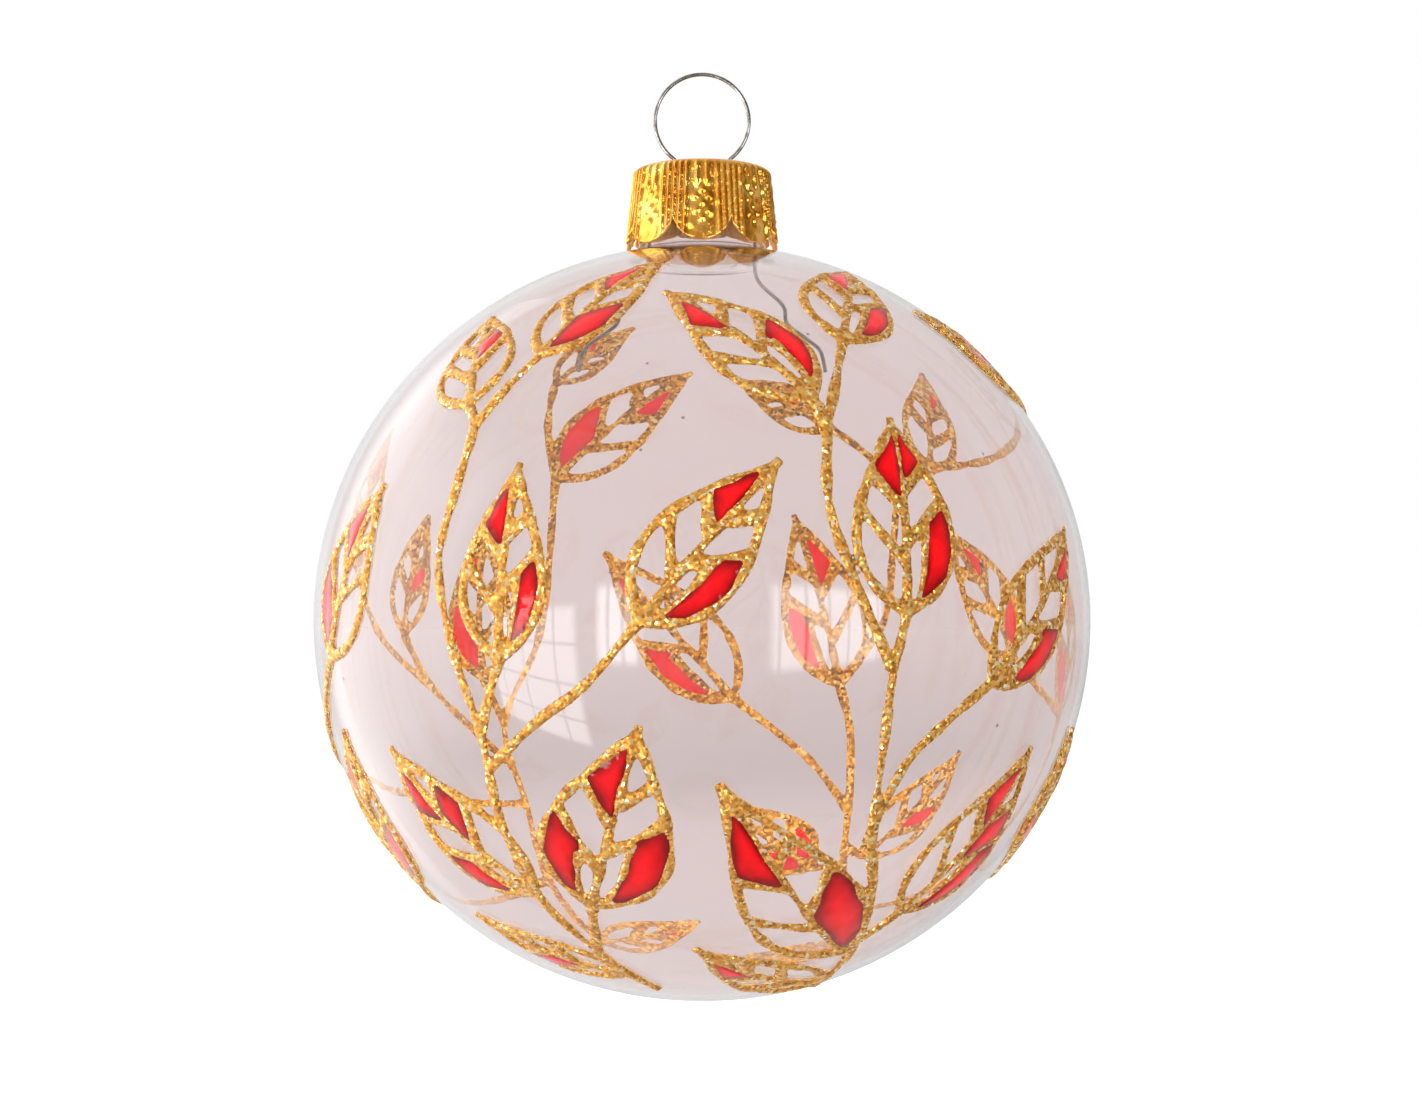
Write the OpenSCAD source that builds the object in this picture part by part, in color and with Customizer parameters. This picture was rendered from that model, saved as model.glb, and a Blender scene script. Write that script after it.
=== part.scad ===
// Glass ball ornament: a blown glass ball with a short open neck, a stamped metal cap over the neck,
// one bent spring wire that hangs it, and four leafy vines painted on the glass in raised glitter
// with red enamel panes. The origin is where it hangs: inside the top of the wire ring. +Z is up.

/* [Glass ball] */
// Diameter of the ball round its middle
ball_d = 80; // [60:1:120]
// Height of the ball from pole to pole, without the neck
ball_h = 78; // [58:1:118]
// Thickness of the blown glass
glass_wall = 0.7; // [0.5:0.1:1.2]
// Outside diameter of the neck
neck_d = 13; // [12:0.2:18]
// Height of the neck's lip above the shoulder
neck_h = 8.6; // [7:0.1:12]
// Radius where the neck runs into the shoulder
shoulder_radius = 1.5; // [1:0.1:3]
// Rounding of the lip's outer edge
lip_radius = 0.35; // [0.2:0.05:0.5]

/* [Cap] */
// Thickness of the cap's sheet metal
cap_sheet = 0.3; // [0.2:0.05:0.5]
// Radial gap between the neck and the cap
cap_gap = 0.2; // [0.1:0.05:0.5]
// Lean of the skirt away from the neck, in degrees
cap_flare = 6.5; // [4:0.5:10]
// Play between the lip and the underside of the cap
seat_gap = 0.04; // [0.03:0.01:0.1]
// Gap between the skirt's tips and the shoulder
rim_gap = 0.5; // [0.3:0.1:1.5]
// Lobes round the lower edge of the skirt
lobe_count = 8; // [6:1:10]
// Upright ribs in each group between two panels
rib_count = 3; // [2:1:4]
// Radius of a rib and of a pressed dot
rib_radius = 0.32; // [0.2:0.02:0.4]

/* [Hanger] */
// Diameter of the spring wire
wire_d = 0.4; // [0.3:0.05:0.8]
// Inside diameter of the ring
ring_d = 9.4; // [8:0.2:14]
// Height of the ring's centre above the cap
ring_rise = 5.1; // [4.6:0.1:7]
// Distance of each wire slot from the cap's axis
slot_x = 2.5; // [2:0.1:3]
// Gap between the wire and the sides of its slot
slot_gap = 0.2; // [0.15:0.05:0.4]
// Gap between a spring leg and the inside of the neck
leg_gap = 0.1; // [0.1:0.05:0.4]
// Spread of a leg's tip beyond the inside of the neck
leg_spread = 7.4; // [4:0.1:10]
// Reach of a leg's tip below the shoulder
leg_reach = 12.1; // [8:0.1:18]

/* [Painted vines] */
// Height of the raised glitter lines
line_h = 0.4; // [0.3:0.05:0.8]
// Width of a leaf's outline
line_w = 0.9; // [0.7:0.05:1.4]
// Width of a stem
stem_w = 0.9; // [0.7:0.05:1.6]
// Height of the red enamel panes
pane_h = 0.25; // [0.15:0.05:0.5]
// Gap between paint and glass, and between a pane and its lines
paint_gap = 0.04; // [0.03:0.01:0.1]

/* [Hidden] */
$fn = 96;

// Glass: near the neck the flattened ball is as good as a larger round one, centred lower
ball_r = ball_d / 2;
flatten = ball_h / ball_d;
pole_r = ball_r / flatten;
pole_drop = pole_r - ball_h / 2;
neck_r = neck_d / 2;
neck_inner_r = neck_r - glass_wall;
fillet_x = neck_r + shoulder_radius;
fillet_from_axis = asin(fillet_x / (pole_r + shoulder_radius));
fillet_z = (pole_r + shoulder_radius) * cos(fillet_from_axis) - pole_drop;
fillet_steps = 6;
fillet_stop = 10;
lip_steps = 4;
shoulder_z = pole_r * cos(fillet_from_axis) - pole_drop;
neck_top_z = shoulder_z + neck_h;

// Cap
cap_top_z = neck_top_z + seat_gap + cap_sheet;
cap_corner = lip_radius + cap_gap + cap_sheet;
rim_z = shoulder_z + rim_gap;
cap_shoulder_r = neck_r + cap_gap + cap_sheet;
lobe_angle = 360 / lobe_count;
lobe_overlap = 1.04;
rib_step = 5.5;
dot_places = [[-0.9, 0.8], [0.9, 0.8], [0, 0.1], [0, 1.7], [0, -1.3]];

// Hanger, as points [distance from the axis, height]
wire_r = wire_d / 2;
ring_r = (ring_d + wire_d) / 2;
ring_z = cap_top_z + ring_rise;
hang_z = ring_z + ring_d / 2;
ring_end_angle = -56;
ring_step = 7.3;
wire_sides = 8;
curve_steps = 4;
neck_x = neck_inner_r - leg_gap - wire_r;
leg_wave = [[0.06, 0.21], [0.4, 0.42], [0.46, 0.58], [0.73, 0.71], [0.93, 0.82], [1, 1]];
leg_points = concat(
  [
    [slot_x, cap_top_z + cap_sheet],
    [slot_x, cap_top_z - cap_sheet * 3],
    [(slot_x + neck_x) / 2, cap_top_z - neck_h * 0.35],
    [neck_x, cap_top_z - neck_h * 0.7],
    [neck_x, shoulder_z]
  ],
  [for (share = leg_wave) [neck_x + share[0] * leg_spread, shoulder_z - share[1] * leg_reach]]
);

// Leaf drawing: the lean sets where the leaf is widest, the veins start at shares of its length,
// and a line that splits a cell runs at a share of the leaf's half width
leaf_lean = 0.65;
leaf_steps = 9;
cell_count = 6;
split_share = 0.3;
left_veins = [0.24, 0.5];
right_veins = [0.34, 0.6];
vein_slope = 1.1;
vein_w = 0.75;

// Vines, laid out by hand in degrees: [longitude from the front, to the right; latitude].
// A stem is a list of points. A leaf is [base, tip, half width as a share of its length, red cells].
// Cells count from the base to the tip, 0 to 2 on the left and 3 to 5 on the right. A cell given with
// cell_count added is split by a line, and is red outside that line only.
front_left_stems = [
  [[-15, -66], [-24, -53], [-30, -40], [-31, -27], [-31, -15], [-34, -4], [-37, 8], [-36, 18],
    [-36, 27], [-39, 31]],
  [[-36, 27], [-33, 33], [-29, 39]],
  [[-31, -15], [-27, -5]],
  [[-31, -20], [-22, -13], [-15, -8], [-8, 0]],
  [[-24, -53], [-20, -42]]
];
front_left_leaves = [
  [[-39, 31], [-52, 50], 0.31, [4]],
  [[-29, 39], [-11, 64], 0.23, [2, 3]],
  [[-27, -5], [-26, 22], 0.24, [2, 9]],
  [[-8, 0], [11, 22], 0.25, [2, 9]],
  [[-20, -42], [-8, -13], 0.3, [2, 6, 9]],
  [[-30, -40], [-50, -17], 0.25, [2, 6, 4]],
  [[-20, -60], [-53, -46], 0.2, [1]]
];
front_right_stems = [
  [[47, -68], [41, -60], [36, -51], [31, -40], [26, -28], [25, -10], [27, 1]],
  [[25, -6], [20, 5], [17, 15], [18, 25], [21, 33], [26, 42]],
  [[18, 25], [17, 31]],
  [[26, -28], [29, -19], [35, -13], [42, -8]],
  [[36, -51], [41, -45]]
];
front_right_leaves = [
  [[27, 1], [29, 29], 0.28, [2, 5, 9]],
  [[17, 31], [-9, 53], 0.24, [2, 9]],
  [[26, 42], [52, 63], 0.27, [2, 9]],
  [[42, -8], [65, 14], 0.23, [5, 9]],
  [[41, -45], [55, -17], 0.27, [2, 9, 4]],
  [[35, -54], [2, -21], 0.2, [2, 3]],
  [[45, -66], [-2, -51], 0.2, [2]]
];
back_left_stems = [
  [[-136, -66], [-138, -49], [-142, -33], [-142, -18], [-150, -4], [-152, 10], [-151, 26]],
  [[-151, 26], [-146, 36], [-143, 45]],
  [[-142, -18], [-139, -10]],
  [[-142, -26], [-134, -18], [-127, -11], [-121, -2]],
  [[-127, -11], [-114, -2], [-105, 9]],
  [[-142, -33], [-120, -31], [-96, -26], [-77, -16], [-64, -5]],
  [[-138, -49], [-115, -52], [-92, -50], [-72, -42]]
];
back_left_leaves = [
  [[-151, 26], [-178, 49], 0.23, [2, 3]],
  [[-143, 45], [-158, 60], 0.26, [4]],
  [[-139, -10], [-138, 17], 0.26, [5, 3]],
  [[-121, -2], [-124, 19], 0.24, [1]],
  [[-105, 9], [-96, 33], 0.24, [2, 3]],
  [[-64, -5], [-52, 20], 0.28, [2, 0]],
  [[-72, -42], [-64, -15], 0.25, [2, 3]],
  [[-136, -66], [-180, -61], 0.24, [2]]
];
back_right_stems = [
  [[115, -66], [136, -56], [146, -42], [150, -28], [152, -19], [155, -11]],
  [[148, -35], [158, -26], [166, -20], [174, -14]],
  [[146, -42], [140, -44]],
  [[143, -46], [152, -47]],
  [[155, -11], [147, 0], [144, 14], [140, 24], [132, 27]],
  [[140, 24], [147, 32], [152, 36]],
  [[136, -56], [114, -52], [98, -40], [92, -27], [94, -15]],
  [[94, -15], [107, -11], [117, -6]],
  [[98, -40], [86, -42], [76, -37]],
  [[132, 27], [114, 28], [96, 31], [80, 35]]
];
back_right_leaves = [
  [[155, -11], [163, 20], 0.25, [2, 9]],
  [[174, -14], [198, 13], 0.22, [5, 9]],
  [[140, -44], [126, -22], 0.24, [1]],
  [[152, -47], [176, -33], 0.27, [0, 3]],
  [[132, 27], [118, 46], 0.26, [2]],
  [[117, -6], [133, 17], 0.23, [2, 0]],
  [[152, 36], [172, 47], 0.26, [1]],
  [[115, -66], [158, -72], 0.24, [4]],
  [[94, -15], [98, 11], 0.23, [2, 3]],
  [[76, -37], [72, -15], 0.25, [5, 0]],
  [[80, 35], [57, 52], 0.24, [4, 1]]
];

// Geometry on the ball

function direction(place) = [
  sin(place[0]) * cos(place[1]),
  -cos(place[0]) * cos(place[1]),
  sin(place[1])
];

function place_of(v) = [atan2(v[0], -v[1]), asin(v[2] / norm(v))];

function midway(a, b) = place_of(direction(a) + direction(b));

function chord(a, b) = ball_r * norm(direction(b) - direction(a));

// Compass bearing from one place to a direction, clockwise from the north
function bearing(from, v) = atan2(
  v * [cos(from[0]), sin(from[0]), 0],
  v * [-sin(from[0]) * sin(from[1]), cos(from[0]) * sin(from[1]), cos(from[1])]
);

// Sets children on the round ball with +Z outwards and +Y along the line from a to b
module between(a, b) {
  middle = midway(a, b);
  rotate([0, 0, middle[0]])
    rotate([90 - middle[1], 0, 0])
      rotate([0, 0, -bearing(middle, direction(b))])
        children();
}

// Raises a flat drawing through the ball's surface
module stamp() {
  translate([0, 0, ball_r * 0.85])
    linear_extrude(ball_r * 0.15 + line_h * 4)
      children();
}

// Keeps the part of the children that lies on the glass, and flattens the round ball to the oval one
module painted(height) {
  lower_to_ball()
    flattened()
      intersection() {
        difference() {
          sphere(ball_r + paint_gap + height);
          sphere(ball_r + paint_gap);
        }
        union() children();
      }
}

module lower_to_ball() {
  translate([0, 0, -hang_z]) children();
}

// Leaf drawing

// Half width of a leaf, as a share of its widest, from its base at 0 to its tip at 1
function leaf_swell(t) = sin(180 * pow(t, leaf_lean));

function leaf_side(length, half_w) = [
  for (i = [0:leaf_steps])
    let (t = pow(i / leaf_steps, 1.2))
    [half_w * leaf_swell(t), length * t]
];

// Pointed blade from its base at the origin to its tip on +Y, widest nearer the base
module blade(length, half_w) {
  side = leaf_side(length, half_w);
  polygon(concat(side, [for (i = [leaf_steps - 1:-1:1]) [-side[i][0], side[i][1]]]));
}

// One of the six open cells of a leaf, drawn in by a margin
module cell(length, half_w, index, margin) {
  right = index > 2;
  order = index % 3;
  starts = right ? right_veins : left_veins;
  rise = (vein_w / 2 + margin) * sqrt(1 + vein_slope * vein_slope);
  inner_x = vein_w / 2 + margin;
  low = order == 0 ? -length * 2 : starts[order - 1] * length + rise;
  high = order == 2 ? length * 2 : starts[order] * length - rise;
  inset = line_w + margin;
  intersection() {
    translate([0, inset * 1.6]) blade(length - inset * 3.6, half_w - inset);
    mirror([right ? 0 : 1, 0, 0])
      polygon([
        [inner_x, low + inner_x * vein_slope],
        [length, low + length * vein_slope],
        [length, high + length * vein_slope],
        [inner_x, high + inner_x * vein_slope]
      ]);
  }
}

function is_split(leaf, index) = len([for (red = leaf[3]) if (red == index + cell_count) red]) > 0;

// The part of a leaf on the midrib's side of its split line, out to a reach past the line's inner edge
module inside_split(length, half_w, reach) {
  side = leaf_side(length, half_w * split_share);
  polygon(concat(
    [for (p = side) [p[0] + reach, p[1]]],
    [for (i = [leaf_steps:-1:0]) [-side[i][0] - reach, side[i][1]]]
  ));
}

module split_line(length, half_w) {
  difference() {
    inside_split(length, half_w, vein_w);
    blade(length, half_w * split_share);
  }
}

module on_leaf(leaf) {
  between(leaf[0], leaf[1])
    stamp()
      translate([0, -chord(leaf[0], leaf[1]) / 2])
        children();
}

module leaf_lines(leaf) {
  length = chord(leaf[0], leaf[1]);
  half_w = length * leaf[2];
  on_leaf(leaf)
    difference() {
      blade(length, half_w);
      for (index = [0:cell_count - 1])
        difference() {
          cell(length, half_w, index, 0);
          if (is_split(leaf, index)) split_line(length, half_w);
        }
    }
}

module leaf_panes(leaf) {
  length = chord(leaf[0], leaf[1]);
  half_w = length * leaf[2];
  for (red = leaf[3])
    on_leaf(leaf)
      difference() {
        cell(length, half_w, red % cell_count, paint_gap);
        if (red >= cell_count) inside_split(length, half_w, vein_w + paint_gap);
      }
}

// Straight bars from point to point, with a round post over each bend
module stem(points) {
  for (i = [1:len(points) - 1])
    between(points[i - 1], points[i])
      stamp() square([stem_w, chord(points[i - 1], points[i])], center = true);
  for (point = points)
    between(point, [point[0], point[1] + 1])
      stamp() circle(stem_w * 0.56);
}

module glitter_vine(stems, leaves) {
  color("goldenrod")
    painted(line_h) {
      for (points = stems) stem(points);
      for (leaf = leaves) leaf_lines(leaf);
    }
}

module red_panes(leaves) {
  color("crimson")
    painted(pane_h)
      for (leaf = leaves) leaf_panes(leaf);
}

// Glass

module flattened() {
  scale([1, 1, flatten]) children();
}

// Hollow curve from the neck to the shoulder, as a ring that ends inside the wall of the round ball
module shoulder_fillet() {
  reach = 90 - fillet_stop - fillet_from_axis;
  root_x = neck_r - glass_wall / 2;
  root_z = (shoulder_z - glass_wall / 2) / flatten;
  rotate_extrude()
    polygon(concat(
      [[root_x, root_z], [root_x, fillet_z / flatten]],
      [for (i = [0:fillet_steps])
        let (a = 180 + reach * i / fillet_steps)
        [fillet_x + shoulder_radius * cos(a), (fillet_z + shoulder_radius * sin(a)) / flatten]],
      [[fillet_x, root_z]]
    ));
}

// Neck as a solid stub with its lip rounded over
module neck_stub() {
  rotate_extrude()
    polygon(concat(
      [[0, 0], [neck_r, 0]],
      [for (i = [0:lip_steps])
        let (a = 90 * i / lip_steps)
        [neck_r - lip_radius * (1 - cos(a)), (neck_top_z - lip_radius * (1 - sin(a))) / flatten]],
      [[0, neck_top_z / flatten]]
    ));
}

module glass_ball() {
  color([0.88, 0.9, 0.93, 0.35])
    lower_to_ball()
      flattened()
        difference() {
          union() {
            sphere(ball_r);
            neck_stub();
            shoulder_fillet();
          }
          sphere(ball_r - glass_wall);
          cylinder(h = neck_top_z / flatten + 1, r = neck_inner_r);
        }
}

// Cap

// Half section of the cap's form, drawn in by an inset on the top and the side
function cap_section(inset) = let (
  corner = cap_corner - inset,
  corner_x = cap_shoulder_r - cap_corner * cos(cap_flare),
  corner_z = cap_top_z - cap_corner,
  side_x = corner_x + corner * cos(cap_flare),
  side_z = corner_z + corner * sin(cap_flare),
  foot_z = rim_z - 1
) concat(
  [[0, foot_z], [side_x + (side_z - foot_z) * tan(cap_flare), foot_z]],
  [for (a = [cap_flare:(90 - cap_flare) / 6:90.01]) [corner_x + corner * cos(a), corner_z + corner * sin(a)]],
  [[0, cap_top_z - inset]]
);

function skirt_x(z) = cap_shoulder_r + (cap_top_z - cap_corner - z) * tan(cap_flare);

// Sets children on the outside of the skirt, with +Z along its slope
module on_skirt(angle, z) {
  rotate([0, 0, angle])
    translate([skirt_x(z), 0, z])
      rotate([0, -cap_flare, 0])
        children();
}

module cap_ribs() {
  rib_l = cap_top_z - cap_corner - rim_z + 1;
  for (lobe = [0:lobe_count - 1], rib = [0:rib_count - 1])
    on_skirt((lobe + 0.5) * lobe_angle - 90 + (rib - (rib_count - 1) / 2) * rib_step, rim_z - 1)
      cylinder(h = rib_l, r1 = rib_radius * 1.15, r2 = rib_radius * 0.75);
}

module cap_dots() {
  middle_z = (cap_top_z + rim_z) / 2 - 0.6;
  for (lobe = [0:lobe_count - 1], dot = dot_places)
    on_skirt(lobe * lobe_angle - 90 + dot[0] * rib_step, middle_z + dot[1])
      translate([-rib_radius * 0.3, 0, 0])
        sphere(rib_radius);
}

// Everything above the scalloped lower edge
module lobes() {
  lobe_r = skirt_x(rim_z) * sin(lobe_angle / 2) * lobe_overlap;
  reach = skirt_x(rim_z) * 2;
  translate([0, 0, rim_z + lobe_r]) cylinder(h = cap_top_z - rim_z, r = reach);
  for (lobe = [0:lobe_count - 1])
    rotate([0, 0, lobe * lobe_angle - 90])
      translate([0, 0, rim_z + lobe_r])
        rotate([0, 90, 0])
          cylinder(h = reach, r = lobe_r);
}

module wire_slots() {
  slot_r = wire_r + slot_gap;
  for (side = [-1, 1], step = [-1, 1])
    translate([side * slot_x + step * wire_d, 0, cap_top_z - cap_sheet * 2])
      cylinder(h = cap_sheet * 4, r = slot_r);
  for (side = [-1, 1])
    translate([side * slot_x - wire_d, -slot_r, cap_top_z - cap_sheet * 2])
      cube([wire_d * 2, slot_r * 2, cap_sheet * 4]);
}

module cap() {
  color("gold")
    lower_to_ball()
      intersection() {
        difference() {
          union() {
            rotate_extrude() polygon(cap_section(0));
            cap_ribs();
            cap_dots();
          }
          rotate_extrude() polygon(cap_section(cap_sheet));
          wire_slots();
        }
        lobes();
      }
}

// Hanger wire

// Point on a smooth curve through four points, between the second and the third
function curve_point(a, b, c, d, t) =
  (b * 2 + (c - a) * t + (a * 2 - b * 5 + c * 4 - d) * t * t + (b * 3 - a - c * 3 + d) * t * t * t) / 2;

function smooth(points) = let (last = len(points) - 1) [
  for (i = [0:last - 1], step = [0:curve_steps - 1])
    curve_point(points[max(i - 1, 0)], points[i], points[i + 1], points[min(i + 2, last)],
      step / curve_steps),
  points[last]
];

right_half = concat(
  [for (a = [90 - ring_step:-ring_step:ring_end_angle]) [ring_r * cos(a), ring_z + ring_r * sin(a)]],
  smooth(leg_points)
);

wire_path = concat(
  [for (i = [len(right_half) - 1:-1:0]) [-right_half[i][0], right_half[i][1]]],
  [[0, ring_z + ring_r]],
  right_half
);

// One round tube along a path in the XZ plane
module tube(path, radius, sides) {
  last = len(path) - 1;
  points = [
    for (i = [0:last], k = [0:sides - 1])
      let (
        along = path[min(i + 1, last)] - path[max(i - 1, 0)],
        across = [-along[1], along[0]] / norm(along) * radius * cos(k * 360 / sides)
      )
      [path[i][0] + across[0], radius * sin(k * 360 / sides), path[i][1] + across[1]]
  ];
  walls = [
    for (i = [0:last - 1], k = [0:sides - 1])
      let (next = (k + 1) % sides, row = i * sides)
      [row + k, row + next, row + sides + next, row + sides + k]
  ];
  start_face = [for (k = [sides - 1:-1:0]) k];
  end_face = [for (k = [0:sides - 1]) last * sides + k];
  polyhedron(points, concat(walls, [start_face, end_face]), convexity = 6);
}

module hanger_wire() {
  color("silver")
    lower_to_ball()
      tube(wire_path, wire_r, wire_sides);
}

glass_ball();
cap();
hanger_wire();
glitter_vine(front_left_stems, front_left_leaves);  // glitter_vine_front_left
glitter_vine(front_right_stems, front_right_leaves);  // glitter_vine_front_right
glitter_vine(back_left_stems, back_left_leaves);  // glitter_vine_back_left
glitter_vine(back_right_stems, back_right_leaves);  // glitter_vine_back_right
red_panes(front_left_leaves);  // red_panes_front_left
red_panes(front_right_leaves);  // red_panes_front_right
red_panes(back_left_leaves);  // red_panes_back_left
red_panes(back_right_leaves);  // red_panes_back_right
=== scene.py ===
import math

import bmesh
import bpy
import numpy as np
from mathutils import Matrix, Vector, noise


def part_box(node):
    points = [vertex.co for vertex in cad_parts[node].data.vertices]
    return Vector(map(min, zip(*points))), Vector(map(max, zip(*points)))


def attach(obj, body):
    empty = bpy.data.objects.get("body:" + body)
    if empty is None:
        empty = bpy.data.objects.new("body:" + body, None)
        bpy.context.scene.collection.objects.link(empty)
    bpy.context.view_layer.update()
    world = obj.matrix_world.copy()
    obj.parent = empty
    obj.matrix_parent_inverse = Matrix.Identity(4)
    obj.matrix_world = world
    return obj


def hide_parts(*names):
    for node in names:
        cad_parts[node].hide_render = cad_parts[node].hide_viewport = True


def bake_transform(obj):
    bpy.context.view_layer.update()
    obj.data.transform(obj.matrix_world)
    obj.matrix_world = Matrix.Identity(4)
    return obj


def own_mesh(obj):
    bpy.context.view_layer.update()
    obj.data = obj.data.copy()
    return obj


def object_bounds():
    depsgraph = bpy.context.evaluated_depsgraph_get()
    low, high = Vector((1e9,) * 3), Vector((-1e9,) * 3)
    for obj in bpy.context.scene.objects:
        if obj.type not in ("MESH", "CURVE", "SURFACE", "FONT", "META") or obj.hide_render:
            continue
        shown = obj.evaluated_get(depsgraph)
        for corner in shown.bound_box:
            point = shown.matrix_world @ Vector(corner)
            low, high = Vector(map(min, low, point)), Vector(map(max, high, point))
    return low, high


# Looks of a glass ball ornament: clear glass, a pressed gold cap, a spring wire hanger, and leafy
# vines painted on the glass in raised gold glitter with red lacquer panes.
# Shapes are worked out in millimetres in the CAD frame, and made into objects in metres.

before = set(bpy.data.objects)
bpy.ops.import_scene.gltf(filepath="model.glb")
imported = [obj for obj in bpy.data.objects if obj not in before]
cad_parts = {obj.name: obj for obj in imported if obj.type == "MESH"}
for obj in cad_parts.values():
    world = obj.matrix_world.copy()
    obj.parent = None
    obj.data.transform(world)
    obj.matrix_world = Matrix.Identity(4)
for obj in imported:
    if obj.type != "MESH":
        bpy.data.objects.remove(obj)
cad_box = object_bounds()

MM = 0.001

# Sizes that the CAD model has too, in millimetres, and its angles, shares and counts
BALL_R = 40.0
FLATTEN = 0.975
BALL_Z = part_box("glass_ball")[0].z / MM + BALL_R * FLATTEN
GLASS_WALL = 0.7
NECK_R = 6.5
NECK_TOP_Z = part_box("glass_ball")[1].z / MM
SHOULDER_RADIUS = 1.5
LIP_RADIUS = GLASS_WALL / 2
CAP_TOP_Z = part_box("cap")[1].z / MM
CAP_RIM_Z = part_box("cap")[0].z / MM
CAP_SHEET = 0.3
CAP_GAP = 0.2
CAP_SHOULDER_R = NECK_R + CAP_GAP + CAP_SHEET
CAP_CORNER = LIP_RADIUS + CAP_GAP + CAP_SHEET
CAP_FLARE = math.radians(6.5)
RIM_GAP = 0.5
SHOULDER_Z = CAP_RIM_Z - RIM_GAP
NECK_H = NECK_TOP_Z - SHOULDER_Z
LOBES = 8
LOBE_ANGLE = 2 * math.pi / LOBES
LOBE_OVERLAP = 1.04
WIRE_R = 0.2
RING_INSIDE_R = 4.7
RING_R = RING_INSIDE_R + WIRE_R
RING_Z = -RING_INSIDE_R
RING_END = -56.0
SLOT_X = 2.5
SLOT_GAP = 0.2
SLOT_HALF = WIRE_R * 2
SLOT_R = WIRE_R + SLOT_GAP
SLOT_FOOT_Z = CAP_TOP_Z - CAP_SHEET * 3
LEG_GAP = 0.1
LEG_BENDS = (0.35, 0.7)
NECK_X = NECK_R - GLASS_WALL - LEG_GAP - WIRE_R
LEG_SPREAD = 7.4
LEG_REACH = 12.1
LEG_WAVE = ((0.06, 0.21), (0.4, 0.42), (0.46, 0.58), (0.73, 0.71), (0.93, 0.82), (1.0, 1.0))
LINE_W = 0.9
STEM_W = 0.9
VEIN_W = 0.75
PAINT_GAP = 0.04
LEAF_LEAN = 0.65
LEFT_VEINS = (0.24, 0.5)
RIGHT_VEINS = (0.34, 0.6)
VEIN_SLOPE = 1.1
CELLS_PER_SIDE = 3
CELL_COUNT = 2 * CELLS_PER_SIDE
SPLIT_SHARE = 0.3

# Vines, laid out in degrees: (longitude from the front, to the right; latitude).
# A stem is a list of points. A leaf is (base, tip, half width as a share of its length, red cells).
# Cells count from the base to the tip, 0 to 2 on the left and 3 to 5 on the right. A cell given with
# CELL_COUNT added is split by a line, and is red outside that line only.
STEMS = {
    "front_left": [
        [(-15, -66), (-24, -53), (-30, -40), (-31, -27), (-31, -15), (-34, -4), (-37, 8), (-36, 18),
         (-36, 27), (-39, 31)],
        [(-36, 27), (-33, 33), (-29, 39)],
        [(-31, -15), (-27, -5)],
        [(-31, -20), (-22, -13), (-15, -8), (-8, 0)],
        [(-24, -53), (-20, -42)],
    ],
    "front_right": [
        [(47, -68), (41, -60), (36, -51), (31, -40), (26, -28), (25, -10), (27, 1)],
        [(25, -6), (20, 5), (17, 15), (18, 25), (21, 33), (26, 42)],
        [(18, 25), (17, 31)],
        [(26, -28), (29, -19), (35, -13), (42, -8)],
        [(36, -51), (41, -45)],
    ],
    "back_left": [
        [(-136, -66), (-138, -49), (-142, -33), (-142, -18), (-150, -4), (-152, 10), (-151, 26)],
        [(-151, 26), (-146, 36), (-143, 45)],
        [(-142, -18), (-139, -10)],
        [(-142, -26), (-134, -18), (-127, -11), (-121, -2)],
        [(-127, -11), (-114, -2), (-105, 9)],
        [(-142, -33), (-120, -31), (-96, -26), (-77, -16), (-64, -5)],
        [(-138, -49), (-115, -52), (-92, -50), (-72, -42)],
    ],
    "back_right": [
        [(115, -66), (136, -56), (146, -42), (150, -28), (152, -19), (155, -11)],
        [(148, -35), (158, -26), (166, -20), (174, -14)],
        [(146, -42), (140, -44)],
        [(143, -46), (152, -47)],
        [(155, -11), (147, 0), (144, 14), (140, 24), (132, 27)],
        [(140, 24), (147, 32), (152, 36)],
        [(136, -56), (114, -52), (98, -40), (92, -27), (94, -15)],
        [(94, -15), (107, -11), (117, -6)],
        [(98, -40), (86, -42), (76, -37)],
        [(132, 27), (114, 28), (96, 31), (80, 35)],
    ],
}
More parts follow.
